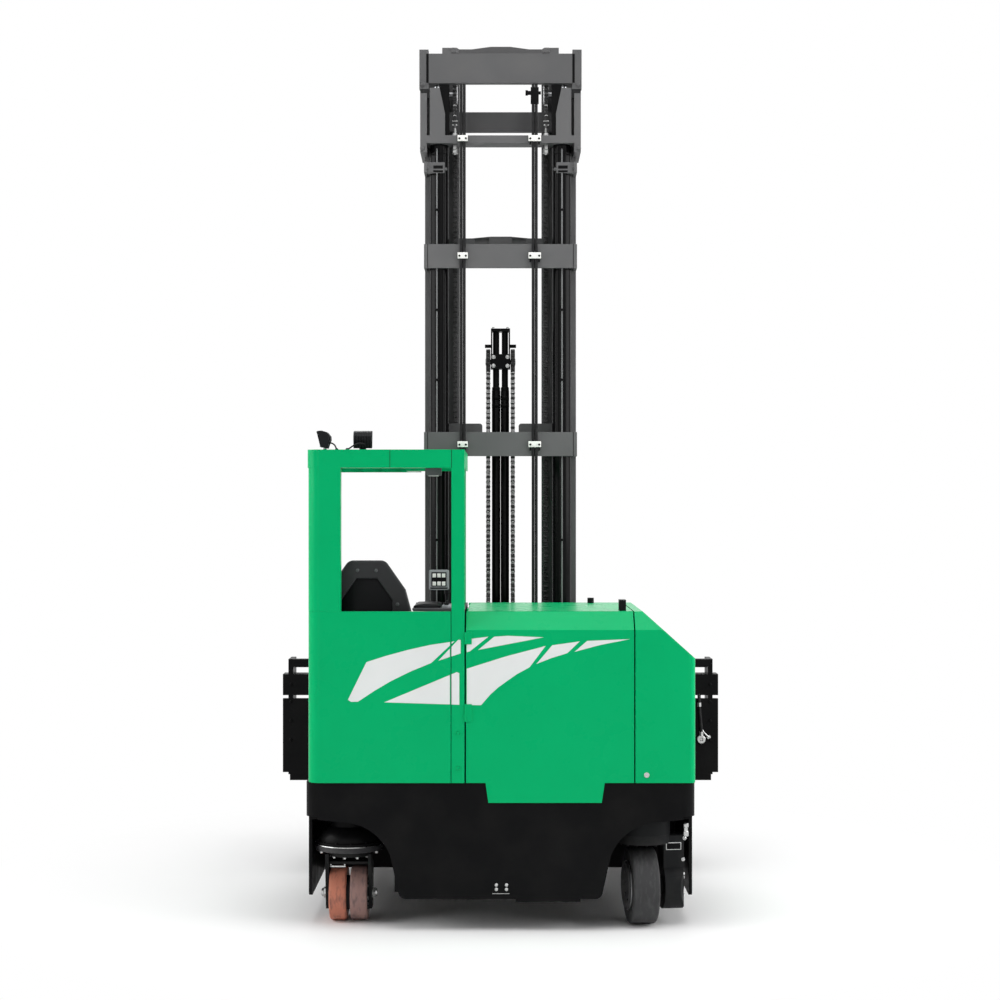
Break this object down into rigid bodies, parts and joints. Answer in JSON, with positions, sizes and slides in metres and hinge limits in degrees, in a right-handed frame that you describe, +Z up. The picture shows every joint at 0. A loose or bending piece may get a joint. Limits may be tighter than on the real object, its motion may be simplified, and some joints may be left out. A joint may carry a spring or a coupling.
{
  "type": "multi-directional reach truck",
  "caption": "Electric multi-directional reach truck with a side cab, a battery hood, a telescopic mast that reaches forward between wheeled legs, and a wide fork carriage.",
  "frame": {"origin": "on the ground, in the middle of the truck's plan box", "axes": "+Z up, +Y forward towards the fork tips, +X to the battery and drive side"},
  "size_m": [2.28, 2.6566, 4.262],
  "materials": {
    "green_paint": "satin green paint",
    "black_paint": "satin black paint",
    "mast_cylinder": "gloss black paint",
    "rod_chrome": "hard chrome",
    "bearing_steel": "machined, oiled",
    "chain_steel": "oiled dark steel",
    "fork_steel": "black with bright wear at the tips",
    "cast_housing": "painted casting",
    "motor_housing": "bare casting",
    "battery_case": "grey paint",
    "polyurethane": "brown polyurethane",
    "drive_rubber": "black tread",
    "hub_iron": "machined casting",
    "hose_rubber": "matt black",
    "black_plastic": "grained black",
    "grey_plastic": "grey moulding",
    "lamp_casing": "black anodised",
    "seat_cloth": "dark woven cloth"
  },
  "bodies": {
    "truck": {"chassis": "black_paint", "base_belt": "black_paint", "steer_mounts": "bearing_steel", "drive_motor": "motor_housing", "battery": "battery_case", "corner_panel": "green_paint", "hood_bulkhead": "black_paint", "cab_rear_panel": "green_paint", "overhead_guard": "green_paint", "roof_bars": "black_paint", "cab_tub": "black_paint", "seat_shell": "black_plastic", "seat_pads": "seat_cloth", "seat_base": "black_paint", "armrest": "black_plastic", "display": "grey_plastic", "dash": "black_plastic", "lamps": "lamp_casing", "reach_barrel": "mast_cylinder"},
    "rear_door": {"rear_door": "green_paint"},
    "hood_lid": {"hood_lid": "green_paint", "lid_fittings": "black_plastic"},
    "handwheel": {"steering_wheel": "black_plastic"},
    "twin_fork": {"twin_fork": "cast_housing"},
    "twin_wheels": {"twin_tyres": "polyurethane", "twin_hubs": "hub_iron"},
    "drive_unit": {"drive_leg": "cast_housing"},
    "drive_wheel": {"drive_tyre": "drive_rubber", "drive_hub": "hub_iron"},
    "load_turret_left": {"load_turret_left": "cast_housing"},
    "load_turret_right": {"load_turret_right": "cast_housing"},
    "load_wheel_left": {"load_wheel_left": "polyurethane"},
    "load_wheel_right": {"load_wheel_right": "polyurethane"},
    "reach_carriage": {"reach_carriage": "black_paint", "reach_rod": "rod_chrome", "mast_outer": "black_paint", "lift_barrels": "mast_cylinder", "mast_hoses": "hose_rubber"},
    "mast_middle": {"mast_middle": "black_paint", "lift_rods": "rod_chrome", "mast_sheaves": "bearing_steel", "lift_chains": "chain_steel"},
    "mast_inner": {"mast_inner": "black_paint", "free_lift_barrel": "mast_cylinder"},
    "free_lift_head": {"free_lift_head": "black_paint", "free_lift_chains": "chain_steel"},
    "lift_carriage": {"lift_carriage": "black_paint"},
    "fork_frame": {"fork_frame": "black_paint"},
    "fork_left": {"fork_left": "fork_steel"},
    "fork_right": {"fork_right": "fork_steel"}
  },
  "joints": [
    {"name": "rear_door_hinge", "type": "hinge", "parent": "truck", "child": "rear_door", "pos_m": [-0.1595, -1.3283, 1.15], "axis": [0, 0, -1], "range_deg": [0, 100]},
    {"name": "hood_lid_hinge", "type": "hinge", "parent": "truck", "child": "hood_lid", "pos_m": [-0.151, -0.853, 1.445], "axis": [0, -1, 0], "range_deg": [0, 80]},
    {"name": "handwheel_turn", "type": "hinge", "parent": "truck", "child": "handwheel", "pos_m": [-0.64, -0.325, 1.27], "axis": [0, 0, 1], "continuous": true},
    {"name": "twin_steer", "type": "hinge", "parent": "truck", "child": "twin_fork", "pos_m": [-0.703, -1.055, 0.335], "axis": [0, 0, 1], "range_deg": [-110, 110]},
    {"name": "twin_spin", "type": "hinge", "parent": "twin_fork", "child": "twin_wheels", "pos_m": [-0.703, -1.055, 0.125], "axis": [1, 0, 0], "continuous": true},
    {"name": "drive_steer", "type": "hinge", "parent": "truck", "child": "drive_unit", "pos_m": [0.655, -1.133, 0.4], "axis": [0, 0, 1], "range_deg": [-110, 110]},
    {"name": "drive_spin", "type": "hinge", "parent": "drive_unit", "child": "drive_wheel", "pos_m": [0.64109, -1.13456, 0.175], "axis": [0.9938, 0.1115, 0], "continuous": true},
    {"name": "load_steer_left", "type": "hinge", "parent": "truck", "child": "load_turret_left", "pos_m": [-0.698, 0.725, 0.36], "axis": [0, 0, 1], "range_deg": [-110, 110]},
    {"name": "load_spin_left", "type": "hinge", "parent": "load_turret_left", "child": "load_wheel_left", "pos_m": [-0.698, 0.725, 0.15], "axis": [1, 0, 0], "continuous": true},
    {"name": "load_steer_right", "type": "hinge", "parent": "truck", "child": "load_turret_right", "pos_m": [0.698, 0.725, 0.36], "axis": [0, 0, 1], "range_deg": [-110, 110]},
    {"name": "load_spin_right", "type": "hinge", "parent": "load_turret_right", "child": "load_wheel_right", "pos_m": [0.698, 0.725, 0.15], "axis": [1, 0, 0], "continuous": true},
    {"name": "reach", "type": "slide", "parent": "truck", "child": "reach_carriage", "axis": [0, 1, 0], "range_m": [0, 1.05]},
    {"name": "mast_lift", "type": "slide", "parent": "reach_carriage", "child": "mast_middle", "axis": [0, 0, 1], "range_m": [0, 3.3]},
    {"name": "inner_lift", "type": "slide", "parent": "mast_middle", "child": "mast_inner", "axis": [0, 0, 1], "range_m": [0, 3.3]},
    {"name": "free_lift", "type": "slide", "parent": "mast_inner", "child": "lift_carriage", "axis": [0, 0, 1], "range_m": [0, 2.6]},
    {"name": "head_lift", "type": "slide", "parent": "mast_inner", "child": "free_lift_head", "axis": [0, 0, 1], "range_m": [0, 1.3]},
    {"name": "fork_tilt", "type": "hinge", "parent": "lift_carriage", "child": "fork_frame", "pos_m": [0, -0.015, 0.56], "axis": [1, 0, 0], "range_deg": [-2, 5]},
    {"name": "fork_left_shift", "type": "slide", "parent": "fork_frame", "child": "fork_left", "axis": [-1, 0, 0], "range_m": [-0.28, 0.58]},
    {"name": "fork_right_shift", "type": "slide", "parent": "fork_frame", "child": "fork_right", "axis": [1, 0, 0], "range_m": [-0.28, 0.58]}
  ],
  "couplings": [
    {"joint": "inner_lift", "follows": "mast_lift", "ratio": 1},
    {"joint": "head_lift", "follows": "free_lift", "ratio": 0.5},
    {"joint": "fork_right_shift", "follows": "fork_left_shift", "ratio": 1}
  ]
}
